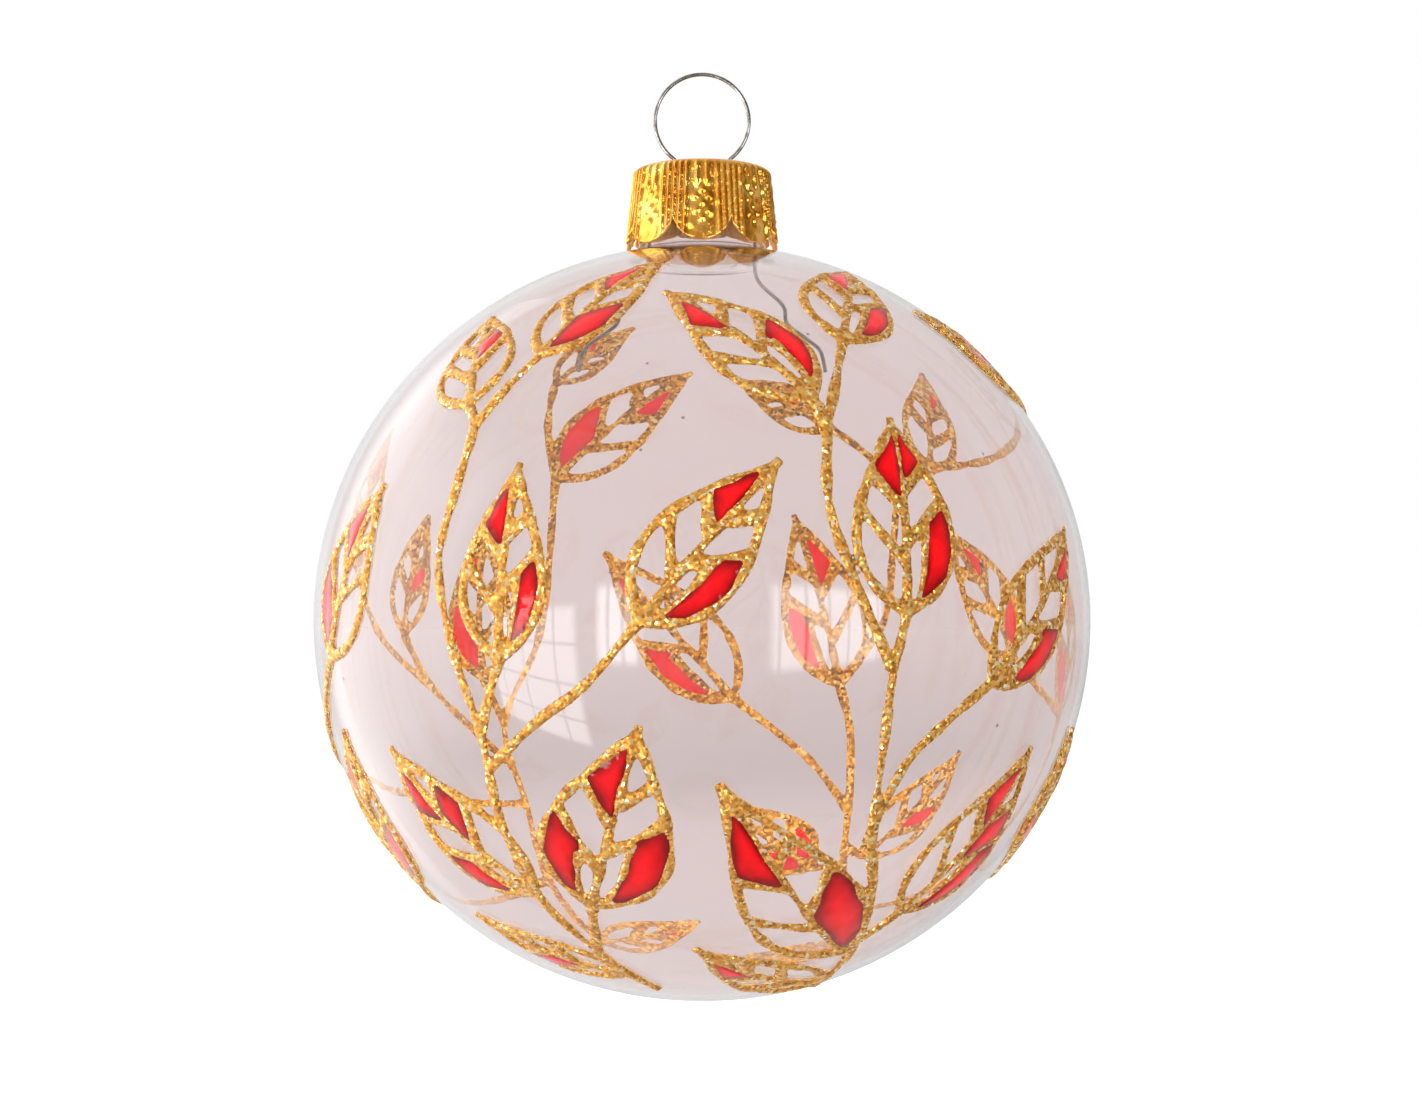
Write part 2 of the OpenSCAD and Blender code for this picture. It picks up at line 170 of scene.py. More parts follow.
LEAVES = {
    "front_left": [
        ((-39, 31), (-52, 50), 0.31, (4,)),
        ((-29, 39), (-11, 64), 0.23, (2, 3)),
        ((-27, -5), (-26, 22), 0.24, (2, 9)),
        ((-8, 0), (11, 22), 0.25, (2, 9)),
        ((-20, -42), (-8, -13), 0.3, (2, 6, 9)),
        ((-30, -40), (-50, -17), 0.25, (2, 6, 4)),
        ((-20, -60), (-53, -46), 0.2, (1,)),
    ],
    "front_right": [
        ((27, 1), (29, 29), 0.28, (2, 5, 9)),
        ((17, 31), (-9, 53), 0.24, (2, 9)),
        ((26, 42), (52, 63), 0.27, (2, 9)),
        ((42, -8), (65, 14), 0.23, (5, 9)),
        ((41, -45), (55, -17), 0.27, (2, 9, 4)),
        ((35, -54), (2, -21), 0.2, (2, 3)),
        ((45, -66), (-2, -51), 0.2, (2,)),
    ],
    "back_left": [
        ((-151, 26), (-178, 49), 0.23, (2, 3)),
        ((-143, 45), (-158, 60), 0.26, (4,)),
        ((-139, -10), (-138, 17), 0.26, (5, 3)),
        ((-121, -2), (-124, 19), 0.24, (1,)),
        ((-105, 9), (-96, 33), 0.24, (2, 3)),
        ((-64, -5), (-52, 20), 0.28, (2, 0)),
        ((-72, -42), (-64, -15), 0.25, (2, 3)),
        ((-136, -66), (-180, -61), 0.24, (2,)),
    ],
    "back_right": [
        ((155, -11), (163, 20), 0.25, (2, 9)),
        ((174, -14), (198, 13), 0.22, (5, 9)),
        ((140, -44), (126, -22), 0.24, (1,)),
        ((152, -47), (176, -33), 0.27, (0, 3)),
        ((132, 27), (118, 46), 0.26, (2,)),
        ((117, -6), (133, 17), 0.23, (2, 0)),
        ((152, 36), (172, 47), 0.26, (1,)),
        ((115, -66), (158, -72), 0.24, (4,)),
        ((94, -15), (98, 11), 0.23, (2, 3)),
        ((76, -37), (72, -15), 0.25, (5, 0)),
        ((80, 35), (57, 52), 0.24, (4, 1)),
    ],
}


# Objects

def make_object(name, points, faces, materials, body):
    """A mesh object from points in millimetres, riding on a CAD body if one is named."""
    mesh = bpy.data.meshes.new(name)
    mesh.from_pydata([tuple(float(c) * MM for c in p) for p in points], [], faces)
    mesh.validate()
    for material in materials:
        mesh.materials.append(material)
    mesh.shade_smooth()
    obj = bpy.data.objects.new(name, mesh)
    bpy.context.scene.collection.objects.link(obj)
    if body:
        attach(obj, body)
    return obj


def grid_faces(rows, columns, closed_rows=False, closed_columns=True):
    """Quads of a grid of points, row by row."""
    faces = []
    for r in range(rows if closed_rows else rows - 1):
        for c in range(columns if closed_columns else columns - 1):
            r2 = (r + 1) % rows
            c2 = (c + 1) % columns
            faces.append((r * columns + c, r * columns + c2, r2 * columns + c2, r2 * columns + c))
    return faces


def tube_faces(rows, sides, first=0):
    """Faces of a tube of points, row by row from a first point, with both ends closed."""
    faces = grid_faces(rows, sides)
    faces.append(tuple(reversed(range(sides))))
    faces.append(tuple((rows - 1) * sides + k for k in range(sides)))
    return [tuple(first + v for v in face) for face in faces]


def outward(obj):
    """Turns the faces of a closed mesh outwards."""
    work = bmesh.new()
    work.from_mesh(obj.data)
    bmesh.ops.recalc_face_normals(work, faces=work.faces)
    work.to_mesh(obj.data)
    work.free()


def settled(obj):
    """Applies the object's modifiers to its mesh."""
    bpy.context.view_layer.update()
    graph = bpy.context.evaluated_depsgraph_get()
    made = bpy.data.meshes.new_from_object(obj.evaluated_get(graph))
    obj.modifiers.clear()
    obj.data = made


# Node helpers

def new_material(name):
    material = bpy.data.materials.new(name)
    material.use_nodes = True
    tree = material.node_tree
    shader = tree.nodes["Principled BSDF"]
    return material, tree, shader


def add_node(tree, kind, **settings):
    node = tree.nodes.new(kind)
    for key, value in settings.items():
        if key in node.inputs:
            node.inputs[key].default_value = value
        else:
            setattr(node, key, value)
    return node


def set_inputs(node, values):
    for name, value in values.items():
        node.inputs[name].default_value = value


def ramp_colour(tree, shader, factor, stops):
    """Colours a material by a ramp of (place, colour) pairs."""
    node = tree.nodes.new("ShaderNodeValToRGB")
    ramp = node.color_ramp
    while len(ramp.elements) < len(stops):
        ramp.elements.new(0.5)
    for element, (place, colour) in zip(ramp.elements, stops):
        element.position = place
        element.color = (*colour, 1.0)
    tree.links.new(factor, node.inputs["Fac"])
    tree.links.new(node.outputs["Color"], shader.inputs["Base Color"])


def object_place(tree):
    return tree.nodes.new("ShaderNodeTexCoord").outputs["Object"]


def noise_node(tree, scale, detail=2.0, roughness=0.5):
    node = add_node(tree, "ShaderNodeTexNoise", Scale=scale, Detail=detail, Roughness=roughness)
    tree.links.new(object_place(tree), node.inputs["Vector"])
    return node


def bump_from(tree, shader, height, strength, distance):
    """Raises a material's surface by a height, with the distance in metres."""
    node = add_node(tree, "ShaderNodeBump", Strength=strength, Distance=distance)
    tree.links.new(height, node.inputs["Height"])
    tree.links.new(node.outputs["Normal"], shader.inputs["Normal"])


# Materials

# The glass's grey-pink tint is a painted reflection of a room, not a colour of the clear glass.
PAINTED_ROOM_TINT = (0.85, 0.775, 0.77)
TOP_FLAKES_PER_M = 3300.0
UNDERSIDE_FLAKES_PER_M = 2900.0
CLOUDING = 0.6


def glass_material():
    """Blown glass with a faint grey-pink tint, which is a painted reflection of the room around it, slow
    waves and a few tiny dark specks.
    """
    material, tree, shader = new_material("clear_glass")
    specks = add_node(tree, "ShaderNodeTexVoronoi", Scale=140.0, Randomness=1.0)
    tree.links.new(object_place(tree), specks.inputs["Vector"])
    ramp_colour(tree, shader, specks.outputs["Distance"], [
        (0.022, (0.2, 0.17, 0.17)),
        (0.036, PAINTED_ROOM_TINT),
    ])
    set_inputs(shader, {"Roughness": 0.0, "IOR": 1.45, "Transmission Weight": 1.0})
    waves = noise_node(tree, scale=60.0, detail=1.0)
    bump_from(tree, shader, waves.outputs["Fac"], strength=0.05, distance=0.4 * MM)
    return material


def flakes_node(tree, per_m):
    """Cells of the size of flakes, each with its own random colour."""
    node = add_node(tree, "ShaderNodeTexVoronoi", Scale=per_m, Randomness=1.0)
    tree.links.new(object_place(tree), node.inputs["Vector"])
    return node.outputs["Color"]


def channel(tree, colour, name):
    node = tree.nodes.new("ShaderNodeSeparateColor")
    tree.links.new(colour, node.inputs["Color"])
    return node.outputs[name]


def tilt_normals(tree, shader, flakes, amount):
    """Turns the surface a little at random from flake to flake."""
    centred = add_node(tree, "ShaderNodeVectorMath", operation="SUBTRACT")
    centred.inputs[1].default_value = (0.5, 0.5, 0.5)
    tree.links.new(flakes, centred.inputs[0])
    tilt = add_node(tree, "ShaderNodeVectorMath", operation="SCALE")
    tilt.inputs["Scale"].default_value = amount
    tree.links.new(centred.outputs["Vector"], tilt.inputs[0])
    turned = add_node(tree, "ShaderNodeVectorMath", operation="ADD")
    tree.links.new(tree.nodes.new("ShaderNodeNewGeometry").outputs["Normal"], turned.inputs[0])
    tree.links.new(tilt.outputs["Vector"], turned.inputs[1])
    unit_length = add_node(tree, "ShaderNodeVectorMath", operation="NORMALIZE")
    tree.links.new(turned.outputs["Vector"], unit_length.inputs[0])
    tree.links.new(unit_length.outputs["Vector"], shader.inputs["Normal"])


def glitter_material():
    """Gold flakes set every way in a clear paste, each flake of its own random tone; the dark brown and
    near-white ends of its ramp are partly painted shade and painted glints.
    """
    material, tree, shader = new_material("gold_glitter")
    flakes = flakes_node(tree, TOP_FLAKES_PER_M)
    # Flake tones differ at random; the darkest stand partly for painted shade and the near-white ones for
    # painted glints.
    ramp_colour(tree, shader, channel(tree, flakes, "Red"), [
        (0.0, (0.4, 0.14, 0.015)),
        (0.4, (0.68, 0.3, 0.045)),
        (0.75, (0.92, 0.49, 0.1)),
        (0.9, (1.0, 0.72, 0.28)),
        (1.0, (1.0, 0.95, 0.75)),
    ])
    set_inputs(shader, {"Metallic": 0.6})
    rough = add_node(tree, "ShaderNodeMapRange")
    set_inputs(rough, {"To Min": 0.2, "To Max": 0.55})
    tree.links.new(channel(tree, flakes, "Green"), rough.inputs["Value"])
    tree.links.new(rough.outputs["Result"], shader.inputs["Roughness"])
    tilt_normals(tree, shader, flakes, amount=1.0)
    return material


def underside_material():
    """The paste as it shows through the glass: flakes in a paste that lets light in from the far side. Its
    colours are set bright to make up for the lamps' light that the glass stops, and its palest flakes are
    painted glints: painted light.
    """
    material, tree, shader = new_material("gold_paste_underside")
    flakes = flakes_node(tree, UNDERSIDE_FLAKES_PER_M)
    # Bright ramp: painted light in place of lamp light that the glass stops, with near-white flakes as
    # painted glints.
    ramp_colour(tree, shader, channel(tree, flakes, "Red"), [
        (0.0, (0.2, 0.08, 0.0)),
        (0.5, (0.64, 0.34, 0.0)),
        (0.8, (0.95, 0.62, 0.05)),
        (1.0, (1.0, 0.94, 0.45)),
    ])
    set_inputs(shader, {"Metallic": 0.15, "Roughness": 0.4})
    set_inputs(shader, {
        "Subsurface Weight": 0.7,
        "Subsurface Radius": (1.0, 0.7, 0.4),
        "Subsurface Scale": 0.25 * MM,
    })
    tilt_normals(tree, shader, flakes, amount=0.5)
    return material


def lacquer_material():
    """Red lacquer, a little cloudy and uneven, and deeper in colour towards the edge of each pane, with a
    lighter underside that is painted light for panes seen through the glass.
    """
    material, tree, shader = new_material("red_lacquer")
    edge_depth = add_node(tree, "ShaderNodeAttribute", attribute_name="edge_depth")
    cloud = noise_node(tree, scale=420.0)
    mixed = add_node(tree, "ShaderNodeMath", operation="MULTIPLY_ADD")
    mixed.inputs[1].default_value = CLOUDING
    tree.links.new(cloud.outputs["Fac"], mixed.inputs[0])
    tree.links.new(edge_depth.outputs["Fac"], mixed.inputs[2])
    # The depth value darkens the colour towards each pane's edge and lightens it on the underside, the
    # latter as painted light.
    ramp_colour(tree, shader, mixed.outputs["Value"], [
        (0.0, (1.0, 0.025, 0.035)),
        (0.25, (0.9, 0.006, 0.012)),
        (0.55, (0.66, 0.002, 0.006)),
        (1.0, (0.27, 0.0, 0.002)),
    ])
    set_inputs(shader, {"Roughness": 0.06, "IOR": 1.4, "Transmission Weight": 0.4})
    bump_from(tree, shader, cloud.outputs["Fac"], strength=0.5, distance=0.3 * MM)
    return material


def cap_inside_material():
    """The dull inner side of the cap's sheet, made paler than the outside so that it lifts the shade inside
    the cap: partly painted light.
    """
    material, tree, shader = new_material("gold_cap_inside")
    cloud = noise_node(tree, scale=700.0)
    # Paler than the outer gold: painted light that lifts the shade inside the cap and in its notches.
    ramp_colour(tree, shader, cloud.outputs["Fac"], [
        (0.35, (0.78, 0.5, 0.2)),
        (0.65, (0.95, 0.7, 0.36)),
    ])
    set_inputs(shader, {"Metallic": 0.2, "Roughness": 0.6})
    return material


def cap_material():
    """Thin pressed sheet with a gold lacquer and a crinkle from the press."""
    material, tree, shader = new_material("gold_cap")
    cloud = noise_node(tree, scale=420.0, detail=4.0)
    ramp_colour(tree, shader, cloud.outputs["Fac"], [
        (0.3, (0.7, 0.25, 0.025)),
        (0.5, (0.95, 0.43, 0.06)),
        (0.72, (1.0, 0.6, 0.15)),
    ])
    set_inputs(shader, {"Metallic": 1.0, "Roughness": 0.2})
    crinkle = noise_node(tree, scale=1500.0, detail=3.0, roughness=0.6)
    bump_from(tree, shader, crinkle.outputs["Fac"], strength=0.4, distance=0.2 * MM)
    return material


def wire_material():
    """Bright drawn wire with faint streaks."""
    material, tree, shader = new_material("spring_wire")
    streak = noise_node(tree, scale=900.0, detail=3.0)
    ramp_colour(tree, shader, streak.outputs["Fac"], [
        (0.35, (0.2, 0.18, 0.16)),
        (0.65, (0.46, 0.43, 0.4)),
    ])
    set_inputs(shader, {"Metallic": 1.0, "Roughness": 0.3})
    bump_from(tree, shader, streak.outputs["Fac"], strength=0.2, distance=0.05 * MM)
    return material


# Places on the ball

# Where a leaf's outline starts and how much shorter than the leaf it is, in line widths
OUTLINE_FOOT = 0.4
OUTLINE_TRIM = 0.7


def direction(place):
    """Direction from the round ball's centre to a place in degrees."""
    lon, lat = (math.radians(a) for a in place)
    return np.array([math.sin(lon) * math.cos(lat), -math.cos(lon) * math.cos(lat), math.sin(lat)])


def unit(v):
    return v / np.linalg.norm(v)


def on_ball(out, lift):
    """Point over a direction from the round ball's centre, on the flattened ball."""
    p = out * (BALL_R + lift)
    return np.array([p[0], p[1], p[2] * FLATTEN + BALL_Z])


class LeafPlace:
    """A leaf's flat drawing, across and along, set on the round ball."""

    def __init__(self, base, tip):
        start, end = direction(base), direction(tip)
        self.out = unit(start + end)
        self.along = unit(end - start)
        self.across = np.cross(self.along, self.out)
        self.length = BALL_R * float(np.linalg.norm(end - start))

    def direction(self, x, y):
        y = y - self.length / 2
        depth = math.sqrt(BALL_R ** 2 - x * x - y * y)
        return (self.across * x + self.along * y + self.out * depth) / BALL_R


def leaf_half_width(half_w, share):
    return half_w * math.sin(math.pi * min(max(share, 0.0), 1.0) ** LEAF_LEAN)


def outline_point(length, half_w, share):
    """Middle of a leaf's outline, across and along."""
    across = max(leaf_half_width(half_w, share) - LINE_W / 2, 0.0)
    along = LINE_W * OUTLINE_FOOT + share * (length - LINE_W * OUTLINE_TRIM)
    return across, along


def curve_point(a, b, c, d, t):
    """Point on a smooth curve through four points, between the second and the third."""
    return (b * 2 + (c - a) * t + (a * 2 - b * 5 + c * 4 - d) * t ** 2
            + (b * 3 - a - c * 3 + d) * t ** 3) / 2


def smooth_curve(points, count_steps):
    """A smooth curve through points, with a count of steps worked out for each pair of them."""
    ends = [points[0], *points, points[-1]]
    path = []
    for a, b, c, d in zip(ends, ends[1:], ends[2:], ends[3:]):
        steps = count_steps(b, c)
        path += [curve_point(a, b, c, d, step / steps) for step in range(steps)]
    return path + [points[-1]]


# Raised glitter lines

# A bead of paste rises by a share of its width, up to that of the widest bead. Heights are then scaled
# so that a bead of the full width would reach LINE_TOP. Widths are raised by what smoothing takes away.
BEAD_SIDES = 8
BEAD_STEP = 0.5
BEAD_RISE = 0.42
WIDEST_BEAD = 1.2
FULL_BEAD = 1.25
LINE_TOP = 0.43
VOXEL = 0.198
SMOOTHING_LOSS = 1.2
UNDERSIDE_DEPTH = 0.02
GRAIN_H = 0.05
GRAIN_PER_MM = 4.5
WOBBLE = 0.4
WOBBLE_PER_MM = 0.45
WOBBLE_SPREAD = 9.0

# Lines of a leaf: points along them as shares of each, and the width and bend of its rib and veins
OUTLINE_SHARES = (0.0, 0.03, 0.1, 0.2, 0.32, 0.45, 0.58, 0.7, 0.8, 0.89, 0.95, 1.0)
RIB_SHARES = (0.0, 0.25, 0.5, 0.75, 0.92)
VEIN_SHARES = (0.0, 0.35, 0.7, 1.0)
SPLIT_STEPS = 16
RIB_W = VEIN_W * 1.1
VEIN_BEND = 0.14
VEIN_STEP = 0.1

# Width of each kind of line at its start and its end, as a share of its own, and how far that reaches
SWELL_REACH = 2.2
STEM_SWELL = (1.25, 1.2)
OUTLINE_SWELL = (1.35, 0.85)
RIB_SWELL = (1.5, 1.6)
VEIN_SWELL = (1.7, 1.6)
SPLIT_SWELL = (1.1, 1.5)


class Beads:
    """Closed beads of paste along lines on the ball, gathered for one mesh."""

    def __init__(self):
        self.points = []
        self.faces = []

    def add(self, directions, widths):
        rows = len(directions)
        first = len(self.points)
        centres = [on_ball(d, 0.0) for d in directions]
        for i, centre in enumerate(centres):
            ahead = centres[min(i + 1, rows - 1)] - centres[max(i - 1, 0)]
            out = directions[i]
            side = unit(np.cross(ahead, out))
            for k in range(BEAD_SIDES):
                a = 2 * math.pi * k / BEAD_SIDES
                offset = side * math.cos(a) * widths[i] / 2
                offset = offset + out * math.sin(a) * BEAD_RISE * min(widths[i], WIDEST_BEAD)
                self.points.append(centre + offset)
        self.faces += tube_faces(rows, BEAD_SIDES, first)


def wobble(seed_place, along):
    """Hand-laid width as a share of the mean, mostly within a quarter of it."""
    return 1.0 + WOBBLE * noise.noise(Vector((along * WOBBLE_PER_MM, *seed_place[:2])))


def bead_steps(start, end):
    """How many steps of a bead lie between two directions."""
    return max(2, round(BALL_R * float(np.linalg.norm(end - start)) / BEAD_STEP))


def lay_line(beads, directions, width, swells):
    """One bead of paste, with its own width at its ends, where it joins another."""
    path = [unit(p) for p in smooth_curve(directions, bead_steps)]
    last = len(path) - 1
    start_swell, end_swell = swells
    widths = []
    for i in range(last + 1):
        from_start = i * BEAD_STEP / SWELL_REACH
        from_end = (last - i) * BEAD_STEP / SWELL_REACH
        swell = 1.0
        swell += (start_swell - 1.0) * math.exp(-from_start ** 2)
        swell += (end_swell - 1.0) * math.exp(-from_end ** 2)
        widths.append(width * SMOOTHING_LOSS * swell * wobble(path[0] * WOBBLE_SPREAD, i * BEAD_STEP))
    beads.add(path, widths)


def leaf_beads(beads, leaf):
    """The outline, side veins, middle rib and splitting lines of one leaf."""
    base, tip, half_share, reds = leaf
    place = LeafPlace(base, tip)
    length = place.length
    half_w = length * half_share
    outline = [outline_point(length, half_w, share) for share in OUTLINE_SHARES]
    for side in (-1, 1):
        lay_line(beads, [place.direction(side * x, y) for x, y in outline], LINE_W, OUTLINE_SWELL)
        for start in vein_starts(side):
            vein = vein_points(length, half_w, start)
            lay_line(beads, [place.direction(side * x, y) for x, y in vein], VEIN_W, VEIN_SWELL)
    rib = [place.direction(0.0, length * share) for share in RIB_SHARES]
    lay_line(beads, rib, RIB_W, RIB_SWELL)
    for red in reds:
        if red >= CELL_COUNT:
            middle = split_middle(length, half_w, red % CELL_COUNT)
            lay_line(beads, [place.direction(x, y) for x, y in middle], VEIN_W, SPLIT_SWELL)


def cell_side(index):
    return 1 if index >= CELLS_PER_SIDE else -1


def vein_starts(side):
    return RIGHT_VEINS if side > 0 else LEFT_VEINS


def split_x(half_w, share):
    """Inner edge of the line that splits the cells of a leaf."""
    return leaf_half_width(half_w * SPLIT_SHARE, share)


def split_middle(length, half_w, index):
    """Points along the line that splits a cell, from one end of the cell to the other."""
    side = cell_side(index)
    order = index % CELLS_PER_SIDE
    starts = (-1.0, *vein_starts(side), 1.0)
    points = []
    for share in (i / SPLIT_STEPS for i in range(1, SPLIT_STEPS)):
        x = split_x(half_w, share) + VEIN_W / 2
        level = share - VEIN_SLOPE * x / length
        if starts[order] <= level <= starts[order + 1]:
            points.append((side * x, share * length))
    return points


def vein_run(length, half_w, start):
    """How far out a side vein goes before it meets the outline."""
    x = 0.0
    while x < leaf_half_width(half_w, start + VEIN_SLOPE * x / length) - LINE_W / 2:
        x += VEIN_STEP
    return x


def vein_points(length, half_w, start):
    """Points along a side vein, across and along, which bends up towards the outline."""
    run = vein_run(length, half_w, start)
    return [(run * t, start * length + VEIN_SLOPE * run * t * (1 - VEIN_BEND + VEIN_BEND * t))
            for t in VEIN_SHARES]


def vine_object(vine, materials):
    """All the lines of one vine, joined at a thousand times their size and then brought back."""
    beads = Beads()
    for points in STEMS[vine]:
        lay_line(beads, [direction(p) for p in points], STEM_W, STEM_SWELL)
    for leaf in LEAVES[vine]:
        leaf_beads(beads, leaf)
    enlarged = np.array(beads.points) / MM
    obj = make_object("vine_" + vine, enlarged, beads.faces, materials, "ball")
    remesh = obj.modifiers.new("one_skin", "REMESH")
    remesh.mode = "VOXEL"
    remesh.voxel_size = VOXEL
    smooth = obj.modifiers.new("flow", "SMOOTH")
    smooth.factor = 0.5
    smooth.iterations = 3
    settled(obj)
    seat_on_glass(obj.data)
    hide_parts("glitter_vine_" + vine)


def seat_on_glass(mesh):
    """Brings the paste back to real size, rests its underside on the glass and marks that underside."""
    count = len(mesh.vertices)
    co = np.empty(count * 3, dtype=np.float64)
    mesh.vertices.foreach_get("co", co)
    co = co.reshape(-1, 3)
    centre = np.array([0.0, 0.0, BALL_Z])
    squash = np.array([1.0, 1.0, FLATTEN])
    round_co = (co - centre) / squash
    distance = np.linalg.norm(round_co, axis=1)
    out = round_co / distance[:, None]
    lift = distance - BALL_R
    under = lift < PAINT_GAP + UNDERSIDE_DEPTH
    grain = np.array([noise.noise(Vector(p * GRAIN_PER_MM)) for p in co])
    lift = np.where(under, PAINT_GAP, lift + GRAIN_H * grain)
    lift = np.clip(lift * LINE_TOP / (BEAD_RISE * FULL_BEAD), PAINT_GAP, LINE_TOP)
    co = out * (BALL_R + lift)[:, None] * squash + centre
    mesh.vertices.foreach_set("co", (co * MM).ravel())
    flags = [all(under[v] for v in polygon.vertices) for polygon in mesh.polygons]
    mesh.polygons.foreach_set("material_index", np.array(flags, dtype=np.int32))
    mesh.polygons.foreach_set("use_smooth", np.ones(len(flags), dtype=bool))
    mesh.update()


# Red panes

# A pane is a low dome, higher in its middle than at its edge, tucked under its lines. Its colour is deeper
# towards the edge, and its underside is made lighter: painted light for panes seen through the glass.
PANE_H = 0.3
PANE_EDGE = 0.6
PANE_LIFT = 0.08
PANE_RINGS = (1.0, 0.94, 0.82, 0.62, 0.36, 0.12)
PANE_SIDES = 32
CELL_STEPS = 24
TUCK = 0.3
UNDERSIDE_EDGE_DEPTH = 0.6
# How much lighter the pane's underside is made: painted light for panes seen through the glass.
UNDERSIDE_PAINTED_LIFT = 0.5


def clip(polygon, a, b, c):
    """The part of a convex polygon where a x + b y >= c."""
    kept = []
    for p, q in zip(polygon, polygon[1:] + polygon[:1]):
        from_p = a * p[0] + b * p[1] - c
        from_q = a * q[0] + b * q[1] - c
        if from_p >= 0:
            kept.append(p)
        if (from_p >= 0) != (from_q >= 0):
            t = from_p / (from_p - from_q)
            kept.append((p[0] + (q[0] - p[0]) * t, p[1] + (q[1] - p[1]) * t))
    return kept


def leaf_cell(length, half_w, red):
    """Outline of one red cell, tucked a little under its lines."""
    side = cell_side(red % CELL_COUNT)
    order = red % CELLS_PER_SIDE
    starts = vein_starts(side)
    shares = [i / CELL_STEPS for i in range(CELL_STEPS + 1)]
    edge = [outline_point(length, half_w, share) for share in shares]
    if red < CELL_COUNT:
        cell = clip(edge + [(0.0, edge[-1][1]), (0.0, edge[0][1])], 1, 0, VEIN_W / 2 - TUCK)
    else:
        split = [(split_x(half_w, share) + VEIN_W - TUCK, share * length) for share in shares]
        pairs = [(e, s) for e, s in zip(edge, split) if e[0] > s[0]]
        cell = [e for e, _ in pairs] + [s for _, s in reversed(pairs)]
    rise = (VEIN_W / 2 - TUCK) * math.hypot(1, VEIN_SLOPE)
    if order > 0:
        cell = clip(cell, -VEIN_SLOPE, 1, starts[order - 1] * length + rise)
    if order < CELLS_PER_SIDE - 1:
        cell = clip(cell, VEIN_SLOPE, -1, rise - starts[order] * length)
    return [(side * x, y) for x, y in cell]


def evenly(polygon, count):
    """The same outline with evenly spaced points."""
    closed = np.array(polygon + polygon[:1])
    runs = np.concatenate([[0.0], np.cumsum(np.linalg.norm(np.diff(closed, axis=0), axis=1))])
    marks = np.linspace(0.0, runs[-1], count, endpoint=False)
    return list(zip(np.interp(marks, runs, closed[:, 0]), np.interp(marks, runs, closed[:, 1])))


def pane_rows():
    """Rows of points from the middle of the underside to the middle of the dome: each row's share of the
    outline, its lift off the glass and how deep its colour is."""
    rows = []
    for ring in reversed(PANE_RINGS):
        # The underside rows are made lighter in colour: painted light for panes seen through the glass.
        rows.append((ring, PANE_LIFT, ring ** 3 * UNDERSIDE_EDGE_DEPTH - UNDERSIDE_PAINTED_LIFT))
    for ring in PANE_RINGS:
        rise = PANE_EDGE + (1 - PANE_EDGE) * (1 - ring ** 2)
        rows.append((ring, PANE_LIFT + PANE_H * rise, ring ** 2))
    return rows


def panes_object(vine, material):
    """All the red panes of one vine."""
    points, faces, edge_depths = [], [], []
    rows = pane_rows()
    for base, tip, half_share, reds in LEAVES[vine]:
        place = LeafPlace(base, tip)
        for red in reds:
            outline = evenly(leaf_cell(place.length, place.length * half_share, red), PANE_SIDES)
            middle = np.mean(outline, axis=0)
            first = len(points)
            for ring, lift, edge_depth in rows:
                for p in outline:
                    x, y = middle + (np.array(p) - middle) * ring
                    points.append(on_ball(place.direction(x, y), lift))
                    edge_depths.append(edge_depth)
            faces += tube_faces(len(rows), PANE_SIDES, first)
    obj = make_object("panes_" + vine, points, faces, [material], "ball")
    outward(obj)
    depths = obj.data.attributes.new("edge_depth", "FLOAT", "POINT")
    depths.data.foreach_set("value", np.array(edge_depths, dtype=np.float32))
    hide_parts("red_panes_" + vine)


# Glass ball

GLASS_TURNS = 160
OVAL_STEPS = 110
FILLET_STEPS = 10
FILLET_SKIP = 4
LIP_STEPS = 6
INNER_BEND = 0.6


def arc(centre, radius, start, end, steps):
    """Points of an arc, with its angles in degrees."""
    angles = [math.radians(start + (end - start) * i / steps) for i in range(steps + 1)]
    return [(centre[0] + radius * math.cos(a), centre[1] + radius * math.sin(a)) for a in angles]


def oval(radius, end):
    """Half section of the flattened ball from its bottom up to an angle."""
    return [(radius * math.cos(a), (radius * FLATTEN) * math.sin(a) + BALL_Z)
            for a in np.linspace(-math.pi / 2, end, OVAL_STEPS)]


def glass_profile():
    """Half section from the bottom, up the outside, over the lip and down the inside."""
    pole_r = BALL_R / FLATTEN
    pole_drop = pole_r - BALL_R * FLATTEN
    fillet_x = NECK_R + SHOULDER_RADIUS
    from_axis = math.degrees(math.asin(fillet_x / (pole_r + SHOULDER_RADIUS)))
    fillet_z = (pole_r + SHOULDER_RADIUS) * math.cos(math.radians(from_axis)) - pole_drop
    fillet_start = 270 - FILLET_SKIP - from_axis
    touch_x = pole_r * math.sin(math.radians(from_axis))
    inner_x = NECK_R - GLASS_WALL
    lip_z = NECK_TOP_Z - LIP_RADIUS
    outside = oval(BALL_R, math.acos(touch_x / BALL_R))
    outside += arc((fillet_x, fillet_z + BALL_Z), SHOULDER_RADIUS, fillet_start, 180, FILLET_STEPS)
    outside += arc((NECK_R - LIP_RADIUS, lip_z), LIP_RADIUS, 0, 90, LIP_STEPS)
    inside_r = BALL_R - GLASS_WALL
    inside = oval(inside_r, math.acos((inner_x + INNER_BEND) / inside_r))
    inside.append((inner_x, inside[-1][1] + INNER_BEND * 2))
    inside += arc((inner_x + LIP_RADIUS, lip_z), LIP_RADIUS, 180, 90, LIP_STEPS)[:-1]
    return outside + inside[::-1]


